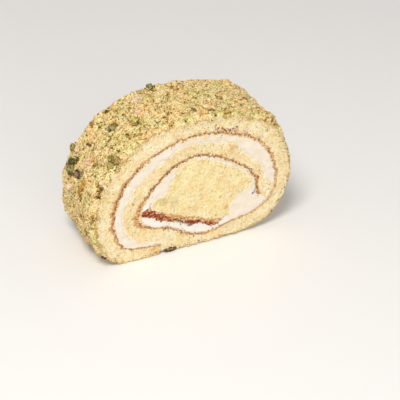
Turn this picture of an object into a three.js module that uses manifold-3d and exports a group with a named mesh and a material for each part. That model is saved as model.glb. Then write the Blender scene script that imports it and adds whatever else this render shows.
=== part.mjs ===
// A slice of swiss roll cake with a crumb coat, standing on its flattened underside.
// Units are millimetres. +Z is up, the roll's axis runs along Y, and the cut face with the rolled-up
// pattern looks along -Y. The origin is on the base, under the middle of the slice.
//
// One sponge sheet is wound clockwise, seen from the front: it starts as a flap under the roll, goes
// round the left side, over the top and down the right side, passes under the middle and over the flap,
// and ends at the right after a little more than one and a half turns. Cream fills the space between its
// two turns, and again the space inside, round a solid sponge core with a line of jam under it.
//
// Every outline is a radius at a winding angle: degrees, clockwise from straight down, round the winding
// centre. 90 is left, 180 is up, 270 is right, and angles over 360 are in the second turn.
import * as THREE from "three";
import { mergeVertices } from "three/addons/utils/BufferGeometryUtils.js";
import Module from "manifold-3d";

const wasm = await Module();
wasm.setup();
const { Manifold, Mesh: SolidMesh } = wasm;
const { degToRad, radToDeg, euclideanModulo, lerp, smoothstep } = THREE.MathUtils;

// ---- Driving sizes ----
const SLICE_DEPTH = 36; // along the roll's axis, between the two knife cuts
const CENTRE_HEIGHT = 28.5; // winding centre above the base
const GAP = 0.35; // clearance between neighbouring layers
const ANGLE_STEP = 4; // degrees between the points of an outline

// Outer radius of the roll, before the crumb coat. The base cuts it flat.
const ROLL = [
  [0, 29], [30, 33.4], [60, 49.2], [90, 49.2], [120, 45.4], [150, 42.2], [180, 38.4], [210, 41.8],
  [240, 47.2], [270, 48.9], [285, 47.4], [300, 44.2], [315, 37.5], [330, 31.6], [345, 29.7],
];

// The sheet's inner, browned side, all the way from the flap to the inner end.
const SHEET_INSIDE = [
  [30, 27.6], [45, 31.8], [60, 39.9], [75, 41.2], [105, 37.8], [135, 34.5], [180, 31.3], [210, 31.8],
  [240, 37.1], [270, 39.9], [285, 39.6], [300, 34], [315, 27], [345, 22.6], [390, 19.2], [405, 20.7],
  [420, 25.4], [434, 28.6], [447, 26.6], [465, 23.3], [480, 21.7], [510, 20.7], [540, 21.1], [570, 20.8],
  [600, 23.9], [620, 28.6], [645, 32.8],
];

// Depth of the cream between the two turns.
const OUTER_CREAM = [
  [30, 0.8], [45, 0.9], [60, 3.8], [75, 3.1], [105, 2.5], [135, 4.5], [165, 2.5], [195, 3.4], [210, 3.4],
  [240, 7.6], [255, 4.7], [270, 3.5], [285, 0.7],
];

const CORE = [
  [0, 13], [30, 12.7], [60, 15.5], [75, 18.6], [88, 22.6], [105, 16.8], [120, 15.8], [135, 17.2],
  [150, 19.9], [162, 20.1], [180, 19.3], [210, 18.5], [240, 21.9], [255, 25], [268, 28.7],
  [277, 28.2], [285, 23.4], [295, 21.3], [315, 22.4], [345, 15.4],
];

// Depth of the jam under the core.
const JAM = [[322, 0.9], [335, 2.2], [360, 2.8], [390, 2.5], [420, 3.2], [434, 4.4], [443, 3.4]];

const FLAP = { tip: 32.3, inside: 38 }; // winding angles of the outer and inner edge of the flap's end
const NOTCH = { foot: 391.5, head: 397.5 }; // where the sheet climbs over the flap
const FOOT_LIFT = { from: 366, height: 1.1 }; // the sheet rises off the base before it climbs
const SHEET_END = { angle: 645, bulge: 1.5 };
const OUTER_CREAM_ENDS = { flap: 42, right: 281 };
const CORE_TOUCHES_SHEET = { from: 146, to: 176 }; // the cream round the core stops between these
const END_CLEARANCE = 2.2; // degrees between the sheet's inner end or the jam's ends and the cream

// Depth of the crumb coat round the roll. Where it is under 0 it lies inside the sponge.
const COAT_DEPTH = [
  [54, -0.5], [66, 1.3], [85, 1.2], [102, 1.7], [120, 1.2], [135, 1.1], [146, 0.5], [160, 0.8],
  [180, 1.4], [196, 0.7], [214, 1], [226, 2.1], [236, 2], [244, 1], [252, 0.4], [288, 0.5], [302, -0.5],
];
const COAT = { lumps: 0.55, step: 3.5, slices: 11, root: 2.5 }; // lumps as a share of the depth

// The coat's lumps are waves: share of the whole, then millimetres for each radian round and along.
const KNOBS = { share: 0.45, round: 1.9, along: 2.3, sway: 1.3, swayRound: 3.1, swayAlong: 4.7 };
const SWELLS = [{ share: 0.35, round: 5.3, along: 4.1 }, { share: 0.2, round: -3.3, along: 1.7 }];

const CRUMBS = {
  count: 150, largest: 1.7, smallest: 0.75, sunk: 0.2, stray: 0.12, jitter: 0.28, flatness: 0.8,
};
const SPREAD = { round: 0.7548777, along: 0.5698403 }; // steps that spread points evenly over a square
const SEED = 11;

// The largest chopped nuts and crusts in the coat: winding angle, place along Y, radius.
const NUTS = [
  [134.5, 1.5, 1.9], [103, 12.2, 2.3], [107, 9.5, 1.6], [99.5, 8.4, 1.9], [124, -15.2, 2.1],
  [127.5, -12.8, 1.7], [167.5, 13.6, 1.9], [110.5, 15, 1.7], [180.5, -12.2, 1.4], [137.5, 12.6, 1.3],
  [126.5, 14.8, 1.5], [99.5, -4.6, 2], [154.5, 8, 1.5], [201, -14, 1.3], [223, -2, 1.6], [208, 8, 1.5],
];

// ---- Outlines ----
// A smooth curve through [angle, value] keys.
function curve(keys) {
  const spline = new THREE.CubicInterpolant(keys.map((key) => key[0]), keys.map((key) => key[1]), 1);
  return (angle) => spline.evaluate(angle)[0];
}

// The same for a closed outline, whose keys go once round.
function closedCurve(keys) {
  const turned = (turn) => keys.map(([angle, value]) => [angle + turn, value]);
  const onTurn = curve([...turned(-360), ...keys, ...turned(360)]);
  return (angle) => onTurn(euclideanModulo(angle, 360));
}

const insideRadius = curve(SHEET_INSIDE);
const outerCreamDepth = curve(OUTER_CREAM);
const coreRadius = closedCurve(CORE);
const jamDepth = curve(JAM);
const freeRollRadius = closedCurve(ROLL);
const coatDepth = curve(COAT_DEPTH);

// The roll's outside, cut flat by the base.
function rollRadius(angle) {
  const down = Math.cos(degToRad(angle));
  return down > 0 ? Math.min(freeRollRadius(angle), CENTRE_HEIGHT / down) : freeRollRadius(angle);
}

// The sheet's outside in its first turn, up to the notch.
function firstTurnRadius(angle) {
  const lift = FOOT_LIFT.height * smoothstep(angle, FOOT_LIFT.from, NOTCH.foot);
  return rollRadius(angle) - lift / Math.cos(degToRad(angle));
}

// The sheet's outside in its second turn, on the far side of the cream.
const secondTurnRadius = (angle) => insideRadius(angle - 360) - outerCreamDepth(angle - 360) - 2 * GAP;

// The core, with the jam where there is some.
function fillingRadius(angle) {
  const start = JAM[0][0] - END_CLEARANCE;
  const turned = start + euclideanModulo(angle - start, 360);
  const hasJam = turned <= JAM.at(-1)[0] + END_CLEARANCE;
  return coreRadius(angle) + (hasJam ? GAP + jamDepth(turned) : 0);
}

// A point of the slice's face at a winding angle and radius.
function at(angle, radius) {
  const turned = degToRad(angle);
  return new THREE.Vector2(-radius * Math.sin(turned), CENTRE_HEIGHT - radius * Math.cos(turned));
}

// Points of an outline from one winding angle to another, either way round.
function trace(from, to, radius, step = ANGLE_STEP) {
  const steps = Math.max(1, Math.round(Math.abs(to - from) / step));
  return Array.from({ length: steps + 1 }, (_, i) => {
    const angle = lerp(from, to, i / steps);
    return at(angle, radius(angle));
  });
}

function sheetOutline() {
  const end = SHEET_END.angle;
  const tipRadius = (secondTurnRadius(end) + insideRadius(end)) / 2;
  return [
    ...trace(FLAP.tip, NOTCH.foot, firstTurnRadius),
    ...trace(NOTCH.head, end, secondTurnRadius),
    at(end + SHEET_END.bulge, tipRadius),
    ...trace(end, FLAP.inside, insideRadius),
  ];
}

function outerCreamOutline() {
  const { flap, right } = OUTER_CREAM_ENDS;
  return [
    ...trace(flap, right, (angle) => insideRadius(angle) - GAP),
    ...trace(right, flap, (angle) => secondTurnRadius(angle + 360) + GAP),
  ];
}

// From where the core leaves the sheet, over its top, past the sheet's end and back under the core.
function innerCreamOutline() {
  const { from, to } = CORE_TOUCHES_SHEET;
  const end = SHEET_END.angle;
  const pastEnd = end + END_CLEARANCE;
  const outer = (angle) => insideRadius(angle) - GAP;
  const inner = (angle) => fillingRadius(angle) + GAP;
  return [
    ...trace(to + 360, end, outer),
    at(pastEnd, outer(end)),
    ...trace(pastEnd - 360, from + 360, outer),
    ...trace(from + 360, to, inner, ANGLE_STEP / 2),
  ];
}

function jamOutline() {
  const [from, to] = [JAM[0][0], JAM.at(-1)[0]];
  return [
    ...trace(from, to, (angle) => coreRadius(angle) + GAP + jamDepth(angle)),
    ...trace(to, from, (angle) => coreRadius(angle) + GAP),
  ];
}

// ---- Solids ----
// An outline of the face run through the slice's depth.
function runThrough(outline, slices = 1) {
  const settings = { depth: SLICE_DEPTH, steps: slices, bevelEnabled: false };
  const extruded = new THREE.ExtrudeGeometry(new THREE.Shape(outline), settings);
  return extruded.rotateX(Math.PI / 2).translate(0, SLICE_DEPTH / 2, 0);
}

// The bare corners and faces, with corners at the same place made one.
function welded(geometry) {
  const bare = new THREE.BufferGeometry().setAttribute("position", geometry.getAttribute("position"));
  bare.setIndex(geometry.index);
  return mergeVertices(bare, 1e-4);
}

function solidOf(geometry) {
  const closed = welded(geometry);
  const vertProperties = closed.getAttribute("position").array;
  const triVerts = new Uint32Array(closed.index.array);
  return new Manifold(new SolidMesh({ numProp: 3, vertProperties, triVerts }));
}

function geometryOf(solid) {
  const { vertProperties, triVerts } = solid.getMesh();
  const geometry = new THREE.BufferGeometry();
  geometry.setAttribute("position", new THREE.BufferAttribute(vertProperties, 3));
  geometry.setIndex(new THREE.BufferAttribute(triVerts, 1));
  const faceted = geometry.toNonIndexed();
  faceted.computeVertexNormals();
  return faceted;
}

// Height of the lumpy coat over the sponge, at a winding angle and a place along Y.
function coatHeight(angle, y) {
  const round = degToRad(angle) * freeRollRadius(180); // about the distance round the roll
  const knobs = Math.sin(round / KNOBS.round + KNOBS.sway * Math.sin(y / KNOBS.swayRound))
    * Math.sin(y / KNOBS.along + Math.sin(round / KNOBS.swayAlong));
  const lumps = SWELLS.reduce(
    (sum, swell) => sum + swell.share * Math.sin(round / swell.round + y / swell.along),
    KNOBS.share * knobs,
  );
  return coatDepth(angle) * (1 + COAT.lumps * lumps);
}

// The coat: a skin rooted in the sponge, its outer face raised into lumps.
function coatSolid() {
  const [from, to] = [COAT_DEPTH[0][0], COAT_DEPTH.at(-1)[0]];
  const outline = [
    ...trace(from, to, rollRadius, COAT.step),
    ...trace(to, from, (angle) => rollRadius(angle) - COAT.root, COAT.step),
  ];
  const coat = welded(runThrough(outline, COAT.slices));
  const corners = coat.getAttribute("position");
  for (let i = 0; i < corners.count; i += 1) {
    const [x, y, z] = [corners.getX(i), corners.getY(i), corners.getZ(i)];
    const angle = euclideanModulo(radToDeg(Math.atan2(-x, CENTRE_HEIGHT - z)), 360);
    const radius = Math.hypot(x, CENTRE_HEIGHT - z);
    if (radius > rollRadius(angle) - COAT.root / 2) {
      const raised = at(angle, radius + coatHeight(angle, y));
      corners.setXYZ(i, raised.x, y, raised.y);
    }
  }
  return solidOf(coat);
}

// Repeatable random numbers from 0 to 1.
function seededRandom(seed) {
  let state = seed;
  return () => {
    state = (state * 1664525 + 1013904223) % 2 ** 32;
    return state / 2 ** 32;
  };
}

// One angular crumb: an icosahedron with its corners moved at random.
function crumbSolid(place, size, random) {
  const crumb = welded(new THREE.IcosahedronGeometry(size, 0));
  const corners = crumb.getAttribute("position");
  for (let i = 0; i < corners.count; i += 1) {
    const reach = 1 + CRUMBS.jitter * (2 * random() - 1);
    const [x, y, z] = [corners.getX(i), corners.getY(i), corners.getZ(i)];
    corners.setXYZ(i, x * reach, y * reach, z * reach * CRUMBS.flatness);
  }
  const turn = () => random() * 2 * Math.PI;
  return solidOf(crumb.rotateX(turn()).rotateY(turn()).rotateZ(turn()).translate(place.x, place.y, place.z));
}

// The nuts, then smaller crumbs spread evenly over the coat, the largest first.
function crumbSolids() {
  const random = seededRandom(SEED);
  const onCoat = (angle, y, rise) => {
    const place = at(angle, rollRadius(angle) + coatHeight(angle, y) + rise);
    return new THREE.Vector3(place.x, y, place.y);
  };
  const nuts = NUTS.map(([angle, y, size]) => crumbSolid(onCoat(angle, y, 0), size, random));
  const [from, to] = [COAT_DEPTH[1][0], COAT_DEPTH.at(-2)[0]];
  const crumbs = Array.from({ length: CRUMBS.count }, (_, k) => {
    const size = lerp(CRUMBS.largest, CRUMBS.smallest, Math.sqrt(k / CRUMBS.count));
    const angle = lerp(from, to, (k * SPREAD.round + CRUMBS.stray * random()) % 1);
    const y = SLICE_DEPTH * (((k * SPREAD.along + CRUMBS.stray * random()) % 1) - 0.5);
    return crumbSolid(onCoat(angle, y, -CRUMBS.sunk * size), size, random);
  });
  return [...nuts, ...crumbs];
}

// The sheet with its coat and crumbs, trimmed by the two cuts and the base.
function coatedSheet() {
  const reach = 4 * CENTRE_HEIGHT; // well past the roll on every side
  const bounds = new THREE.BoxGeometry(2 * reach, SLICE_DEPTH, reach).translate(0, 0, reach / 2);
  const sheet = solidOf(runThrough(sheetOutline())).add(coatSolid());
  const crumbed = crumbSolids().reduce((solid, crumb) => solid.add(crumb), sheet);
  return geometryOf(crumbed.intersect(solidOf(bounds)));
}

// ---- Materials ----
const food = (color, roughness) => new THREE.MeshStandardMaterial({ color, roughness, metalness: 0 });
const sponge = food(0xf0d795, 0.95);
const coreSponge = food(0xf3dc98, 0.95);
const cream = food(0xfbf1e6, 0.55);
const jam = food(0x8c2a18, 0.3);

// ---- Assembly ----
const slice = new THREE.Group();
slice.name = "swiss_roll_slice";

function addLayer(name, geometry, material) {
  const layer = new THREE.Mesh(geometry, material);
  layer.name = name;
  slice.add(layer);
}

addLayer("sponge_sheet", coatedSheet(), sponge);
addLayer("cream_outer", runThrough(outerCreamOutline()), cream);
addLayer("cream_inner", runThrough(innerCreamOutline()), cream);
addLayer("jam", runThrough(jamOutline()), jam);
addLayer("sponge_core", runThrough(trace(0, 360 - ANGLE_STEP, coreRadius)), coreSponge);

export default slice;
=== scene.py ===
"""A slice of swiss roll cake with a crumb coat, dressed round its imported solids.

The face with the rolled-up pattern looks along -Y. Outlines are radii in millimetres at winding angles:
degrees, clockwise from straight down round the winding centre, so 90 is left, 180 is up, 270 is right,
and angles over 360 are in the sheet's second turn. Meshes are shaped in millimetres and placed in metres.
"""

import math
import random
from bisect import bisect_right

import bmesh
import bpy
from mathutils import Euler, Matrix, Vector, noise


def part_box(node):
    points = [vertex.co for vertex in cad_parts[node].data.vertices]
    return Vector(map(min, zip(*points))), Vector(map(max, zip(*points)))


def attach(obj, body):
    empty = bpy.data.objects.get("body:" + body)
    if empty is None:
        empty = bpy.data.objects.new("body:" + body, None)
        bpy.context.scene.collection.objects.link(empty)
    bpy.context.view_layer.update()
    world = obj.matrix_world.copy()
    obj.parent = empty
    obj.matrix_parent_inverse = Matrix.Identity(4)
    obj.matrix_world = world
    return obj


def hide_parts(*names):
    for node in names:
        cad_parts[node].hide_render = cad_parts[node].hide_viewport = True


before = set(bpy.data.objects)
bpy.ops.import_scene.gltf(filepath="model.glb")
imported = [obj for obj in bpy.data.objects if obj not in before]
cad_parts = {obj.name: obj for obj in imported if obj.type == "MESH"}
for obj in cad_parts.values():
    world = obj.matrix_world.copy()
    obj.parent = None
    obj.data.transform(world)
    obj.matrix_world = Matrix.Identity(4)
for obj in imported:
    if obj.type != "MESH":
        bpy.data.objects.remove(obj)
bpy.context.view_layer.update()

MM = 0.001
HALF_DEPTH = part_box("sponge_core")[1].y / MM  # half the slice's depth along the roll's axis
CENTRE_HEIGHT = 28.5  # winding centre above the base
GAP = 0.35  # clearance between the solids, which the soft layers here close

# ---- Driving outlines, as (winding angle, millimetres) ----
ROLL = [
    (0, 29), (30, 33.4), (60, 49.2), (90, 49.2), (120, 45.4), (150, 42.2), (180, 38.4), (210, 41.8),
    (240, 47.2), (270, 48.9), (285, 47.9), (300, 45), (315, 38.2), (330, 31.8), (345, 29.7),
]
SHEET_INSIDE = [
    (30, 27.6), (45, 31.8), (60, 39.9), (75, 41.2), (105, 37.8), (135, 34.5), (180, 31.3), (210, 31.8),
    (240, 37.1), (270, 39.9), (285, 39.6), (300, 34), (315, 27), (345, 22.6), (390, 19.2), (405, 20.7),
    (420, 25.4), (434, 28.6), (447, 26.6), (465, 23.3), (480, 21.7), (510, 20.7), (540, 21.1), (570, 20.8),
    (600, 23.9), (620, 28.6), (645, 32.8),
]
OUTER_CREAM = [
    (30, 1), (45, 1.2), (60, 3.9), (75, 3.1), (90, 3), (105, 3.7), (120, 4.8), (135, 5.8), (150, 5),
    (165, 3.8), (180, 3.5), (195, 3.5), (210, 3), (225, 4.6), (240, 7), (255, 4.6), (265, 3.6), (272, 2.8),
    (277, 0.7), (284, 0.3), (292, 0.3),
]
CORE = [
    (0, 13), (30, 12.7), (60, 15.5), (75, 18.6), (88, 22.6), (105, 16.8), (120, 15.8), (135, 17.2),
    (150, 19.5), (162, 19.7), (180, 18.7), (210, 17.9), (240, 21.4), (255, 24.6), (268, 28.4),
    (277, 28.2), (285, 23.4), (295, 21.3), (315, 22.4), (345, 15.4),
]
JAM = [
    (322, 1.2), (330, 2.7), (342, 2.9), (350, 2.3), (366, 3.4), (380, 2.4), (391, 2.6), (405, 2.5),
    (413, 3.5), (421, 4.4), (429, 4.8), (435, 6), (440, 6.6), (444, 3.6), (447, 0.6),
]
# How far the browned skin lies outside (or, below zero, inside) the sheet's plain inner side.
SKIN_SHIFT = [
    (32, 0), (75, 0.05), (105, -0.3), (135, -1), (165, -1.05), (195, -0.2), (225, -0.1), (255, 0.35),
    (285, 0.9), (327, 0.4), (362, 0.8), (375, 0.5), (389, 0.05), (406, -0.6), (418, -0.9), (428, -0.5),
    (438, -0.1), (450, 0.2), (463, 0.1), (480, -0.15), (495, -0.35), (525, -0.8), (555, -0.85), (585, -1),
    (612, -0.75), (634, -0.3), (645, -0.3),
]
COAT_DEPTH = [
    (54, -0.5), (66, 1.3), (85, 1.7), (102, 2.4), (120, 1.9), (135, 1.3), (146, 0.6), (160, 0.8),
    (180, 1.4), (196, 0.7), (214, 1), (226, 2.1), (236, 2), (244, 1), (252, 0.4), (288, 0.5), (302, -0.5),
]

FLAP_TIP = 32.3
FLAP_SLANT = 5.7  # degrees that the flap's end leans back on the skin side
SLANT_REACH = 25  # degrees from the flap's end over which the sheet comes out of that slant
TIP_WEAR = 2  # mm that the flap's lower corner is rounded off
TIP_REACH = 4.5  # degrees from the flap's end over which it is rounded
NOTCH_FOOT = 391.5
NOTCH_HEAD = 397.5
FOOT_LIFT_FROM = 366
FOOT_LIFT = 1.1  # mm that the sheet rises off the base before it climbs over the flap
SHEET_END = 645
END_LEAN = 3.2  # degrees that the sheet's inner end leans out to the first turn
LEAN_REACH = 14  # degrees before that end over which the sheet comes to lean
CORE_TOUCHES_SHEET = (146, 176)
UNDER_CRUMBS = (56, 306)  # winding angles between which the coat hides the sheet's worn outside
OVERLAP = 0.05  # mm that a soft layer laps over its neighbours

# The coat's lumps, as waves in mm round the roll and along it, and the share of each.
KNOBS = {"share": 0.45, "round": 1.9, "along": 2.3, "sway": 1.3, "sway_round": 3.1, "sway_along": 4.7}
SWELLS = ({"share": 0.35, "round": 5.3, "along": 4.1}, {"share": 0.2, "round": -3.3, "along": 1.7})
COAT_LUMPS = 0.55

# The browned skin: its thickness in mm, and how dark it baked from 0 to 1.
SKIN_THICKNESS = [
    (32, 0.4), (52, 0.5), (66, 0.9), (90, 1.6), (115, 1.3), (150, 1), (185, 0.9), (212, 1.2), (245, 1.2),
    (268, 1), (300, 0.7), (345, 0.75), (375, 0.9), (402, 0.9), (422, 1.2), (434, 2.2), (441, 2.6),
    (448, 1.9), (456, 1.4), (475, 1.1), (510, 0.9), (540, 0.85), (575, 0.8), (610, 0.85), (645, 1.2),
]
SKIN_BAKE = [
    (32, 0.7), (58, 0.75), (76, 0.85), (105, 0.9), (135, 0.62), (165, 0.48), (195, 0.35), (225, 0.42),
    (255, 0.46), (285, 0.2), (327, 0.42), (362, 0.42), (400, 0.4), (436, 0.7), (463, 0.75), (495, 0.95),
    (525, 0.98), (555, 0.76), (585, 0.54), (612, 0.6), (634, 0.85), (645, 1),
]

# How thin and soaked in the jam is, from 0 where it lies thick to 1 where it only stains.
JAM_SOAKED = [(322, 0.5), (338, 0.15), (372, 0.1), (384, 0.42), (402, 0.42), (414, 0.12), (425, 0), (445, 0)]

# The largest chopped nuts and crusts in the coat: winding angle, place along Y, radius, and what it is.
NUTS = [
    (134.5, 2.2, 2.3, "pistachio"), (105.4, 10.2, 2.6, "pistachio"), (102.6, 8, 2.4, "pistachio"),
    (108.5, 7.6, 1.5, "olive"), (103.2, 2.8, 1.9, "fruit"), (120.4, -14.8, 2.2, "olive"),
    (123.5, -12.6, 2, "olive"), (124.8, -15.6, 2, "olive"), (168.5, 15.6, 2.1, "pistachio"),
    (110.5, 15.9, 2.3, "olive"), (180.5, -12.2, 1.1, "olive"), (137.8, 13.2, 1.3, "toast"),
    (192.5, -13.2, 1.3, "toast"), (127.2, 14, 1.4, "ochre"), (103.2, -5, 1.5, "ochre"),
    (100.4, -4.6, 1.8, "ochre"), (97.6, -3.6, 1.9, "ochre"), (94.9, -2.2, 1.4, "ochre"),
    (138.8, -11.5, 1.5, "ochre"), (201.2, -15.6, 1.4, "ochre"), (155.5, 8.6, 2.8, "flake"),
    (112.5, -1.4, 2.3, "flake"), (93.4, 7, 2.2, "flake"), (152.2, 0.5, 1.7, "flake"),
    (110.4, -16, 1.3, "flake"), (111, 12.6, 1.8, "flake"), (223, -2, 1, "olive"),
]

# Where small dark and olive crumbs gather in the coat: winding angle and place along Y. Some dark ones, as
# those beside the olive bits, are painted shade.
GATHERINGS = (
    (116, 7.8), (121.6, -2), (128, -9), (146, -1), (173, 6), (197, 0), (212.5, 3), (224, -6), (80.7, -0.4),
    (92, -4), (79, -15), (180.5, -12), (154.5, 10), (100.5, 12), (191, -14), (238, 8), (188, 12), (110, -10),
    (124, -16.8), (126, -16.6), (98, 2), (90, 5), (95, -10), (104, 15), (112, 3), (86, -6), (117, -6),
    (107, -1), (130, 6), (142, 4), (179.5, -12.8), (206, -8), (164, -6),
)

# Marks on the cut sponge, in mm on the face: x, z, radius, strength.
WARM_MARKS = (
    (18, 48.9, 2.6, 0.65), (15.6, 17.2, 1.3, 0.8), (12.8, 33.4, 3, 0.25), (-20.5, 3.4, 3, 0.3),
    (2.3, 46.2, 2.2, 0.3), (-38, 12, 4.5, 0.2), (24.5, 29, 2.2, 0.25), (19, 27, 3, 0.2),
)
OLIVE_MARKS = (
    (-16.3, 28.9, 3, 0.45), (-11.5, 27, 3, 0.3), (-10.5, 40, 1.8, 0.3), (3, 26, 2, 0.25), (26, 21, 1.8, 0.3),
)
ROSY_MARKS = ((12.8, 58.6, 1.9, 0.8), (18.8, 57.6, 1.7, 0.7), (24.5, 56.4, 1.8, 0.4), (-9, 60.5, 2.6, 0.3))
CRACKS = (
    ((8.5, 62.6), (11.4, 60.3), (16.2, 58.7), (20.6, 59.5)),
    ((32.3, 32.8), (33.6, 30.6), (32.4, 28.7)),
    ((37.2, 24.1), (38.9, 21.4)),
)
# Single dark crumbs on the cut faces: x, z, radius.
FACE_SPECKS = (
    (2.1, 1.9, 0.35), (40, 8.3, 0.4), (47.4, 23.4, 0.3), (47.3, 36.8, 0.3), (43.8, 45.6, 0.35),
    (46.5, 19.8, 0.3), (-31.4, 31.3, 0.32), (-38.7, 5.5, 0.25), (-25, 1.6, 0.25), (-29.5, 48.6, 0.3),
    (35.2, 53.6, 0.3), (29.3, 21.1, 0.4),
)
# Where dark crumbs lie together on the cut faces: x, z.
FOOT_BLOTCH = (-12.4, 1.1)
FLAP_SPOT = (-45.6, 6.4)
END_CRUMBS = (31, 21.8)


# ---- Curves ----
def within(value, low=0.0, high=1.0):
    return min(max(value, low), high)


def curve(keys):
    """A smooth curve through the keys, whose slope at a key is the mean of the slopes beside it."""
    angles = [key[0] for key in keys]
    values = [key[1] for key in keys]
    spans = range(len(keys) - 1)
    rises = [(values[i + 1] - values[i]) / (angles[i + 1] - angles[i]) for i in spans]
    slopes = [rises[0], *((a + b) / 2 for a, b in zip(rises, rises[1:])), rises[-1]]

    def value(angle):
        i = within(bisect_right(angles, angle) - 1, 0, len(keys) - 2)
        width = angles[i + 1] - angles[i]
        p = (angle - angles[i]) / width
        start = (1 + 2 * p) * (1 - p) ** 2 * values[i] + p * (1 - p) ** 2 * width * slopes[i]
        return start + p * p * (3 - 2 * p) * values[i + 1] + p * p * (p - 1) * width * slopes[i + 1]

    return value


def closed_curve(keys):
    once_round = curve([(angle + turn, value) for turn in (-360, 0, 360) for angle, value in keys])
    return lambda angle: once_round(angle % 360)


inside_radius = curve(SHEET_INSIDE)
outer_cream_depth = curve(OUTER_CREAM)
free_roll_radius = closed_curve(ROLL)
plain_core_radius = closed_curve(CORE)
plain_jam_depth = curve(JAM)
jam_soaked = curve(JAM_SOAKED)
skin_shift = curve(SKIN_SHIFT)
coat_depth = curve(COAT_DEPTH)
skin_thickness = curve(SKIN_THICKNESS)
skin_bake = curve(SKIN_BAKE)
FREE_TOP = free_roll_radius(180)


def smooth(share):
    """0 to 1 with soft ends."""
    share = within(share)
    return share * share * (3 - 2 * share)


def rounded(share):
    """The drop of a rounded edge, from 1 at the edge to 0 where it meets the flat."""
    return 1 - math.sqrt(1 - (1 - within(share)) ** 2)


def round_the_roll(angle):
    """Millimetres round the roll at a winding angle, as its lumps and noise are laid out."""
    return math.radians(angle) * FREE_TOP


def rough(place, row, size):
    """Noise from about -0.7 to 0.7 over a face point, with lumps about size mm across.

    The row is a number that keeps the two faces and the layers from repeating each other."""
    return noise.noise(Vector((place.x / size, place.y / size, row)))


def ragged(angle, row, reach, pitch):
    """Unevenness of an edge along its length: up to about reach, over pitch millimetres."""
    along = round_the_roll(angle) * 0.8 / pitch
    fine = noise.noise(Vector((along * 2.7, row, 7.5)))
    return reach * (noise.noise(Vector((along, row, 0.5))) + 0.5 * fine)


def at(angle, radius):
    turned = math.radians(angle)
    return Vector((-radius * math.sin(turned), CENTRE_HEIGHT - radius * math.cos(turned)))


def roll_radius(angle):
    down = math.cos(math.radians(angle))
    free = free_roll_radius(angle)
    return min(free, CENTRE_HEIGHT / down) if down > 0 else free


def skin_side(angle):
    """The sheet's inner side, where its browned skin meets the cream."""
    return inside_radius(angle) - GAP / 2 + skin_shift(angle) + ragged(angle, 1, 0.5, 1.6)


def skin_outside(angle):
    """The browned skin's other side, where it meets the pale sponge."""
    depth = skin_thickness(angle) * (1 + ragged(angle, 6, 0.6, 1.3)) + ragged(angle, 9, 0.3, 0.5)
    return skin_side(angle) + max(0.3, depth)


def first_turn_outside(angle):
    """The sheet's outer side in its first turn: worn at the flap's tip, lifted off the base by the notch."""
    lift = FOOT_LIFT * smooth((angle - FOOT_LIFT_FROM) / (NOTCH_FOOT - FOOT_LIFT_FROM))
    worn = TIP_WEAR * rounded((angle - FLAP_TIP) / TIP_REACH)
    hidden = UNDER_CRUMBS[0] < angle < UNDER_CRUMBS[1]
    uneven = ragged(angle, 8, 0.4, 2.4) if hidden else -abs(ragged(angle, 8, 0.8, 1.3))
    return roll_radius(angle) - lift / math.cos(math.radians(angle)) - worn + uneven


def second_turn_outside(angle):
    first = angle - 360
    depth = max(outer_cream_depth(first), 0.1)
    return inside_radius(first) - depth - 1.5 * GAP + ragged(angle, 2, 0.5, 2.2)


def sheet_outside(angle):
    if angle <= NOTCH_FOOT:
        return first_turn_outside(angle)
    if angle >= NOTCH_HEAD:
        return second_turn_outside(angle)
    share = (angle - NOTCH_FOOT) / (NOTCH_HEAD - NOTCH_FOOT)
    return first_turn_outside(NOTCH_FOOT) * (1 - share) + second_turn_outside(NOTCH_HEAD) * share


def core_radius(angle):
    """The core, swollen against the sheet where they touch."""
    angle = angle % 360
    start, end = CORE_TOUCHES_SHEET
    plain = plain_core_radius(angle) + GAP / 2 + ragged(angle, 3, 0.45, 2.0)
    touch = smooth((angle - start + 5) / 5) * smooth((end + 5 - angle) / 5)
    return plain + touch * (skin_side(angle + 360) - plain)


def jam_depth(angle):
    """The jam's depth under the core, as far as the sheet's skin below leaves room."""
    start, end = JAM[0][0], JAM[-1][0]
    taper = smooth((angle - start + 2) / 6) * smooth((end + 2 - angle) / 3)
    depth = max(0.15, plain_jam_depth(angle) + ragged(angle, 4, 1.1, 1.3))
    return taper * min(depth, skin_side(angle) - core_radius(angle) - 0.4)


def filling_radius(angle):
    """The outside of the core and its jam, which the inner cream surrounds."""
    start = JAM[0][0] - 2
    turned = start + (angle - start) % 360
    return core_radius(angle) + (jam_depth(turned) if turned <= JAM[-1][0] + 2 else 0)


def inner_cream_outside(angle):
    """The skin that the inner cream lies against: the second turn's, then the first's past its end."""
    share = (angle + 360 - SHEET_END + 0.3) / END_LEAN
    if share <= 0:
        return skin_side(angle + 360)
    share = min(share, 1)
    return skin_side(SHEET_END) * (1 - share) + skin_side(angle) * share


def coat_height(angle, y):
    """Height of the lumpy coat over the sponge."""
    around = round_the_roll(angle)
    lumps = KNOBS["share"] * math.sin(
        around / KNOBS["round"] + KNOBS["sway"] * math.sin(y / KNOBS["sway_round"])
    ) * math.sin(y / KNOBS["along"] + math.sin(around / KNOBS["sway_along"]))
    lumps += sum(s["share"] * math.sin(around / s["round"] + y / s["along"]) for s in SWELLS)
    return coat_depth(angle) * (1 + COAT_LUMPS * lumps)


def evenly(start, end, step, radius):
    """Winding angles from start to end, one every step millimetres along the outline."""
    lengths, angles, length = [0.0], [start], 0.0
    count = max(2, round(abs(end - start)))
    for i in range(count):
        a, b = (start + (end - start) * k / count for k in (i, i + 1))
        length += (at(b, radius(b)) - at(a, radius(a))).length
        lengths.append(length)
        angles.append(b)
    steps = max(2, round(length / step))
    found = []
    for k in range(steps + 1):
        wanted = length * k / steps
        i = within(bisect_right(lengths, wanted) - 1, 0, count - 1)
        share = (wanted - lengths[i]) / (lengths[i + 1] - lengths[i])
        found.append(angles[i] + share * (angles[i + 1] - angles[i]))
    return found


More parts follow.
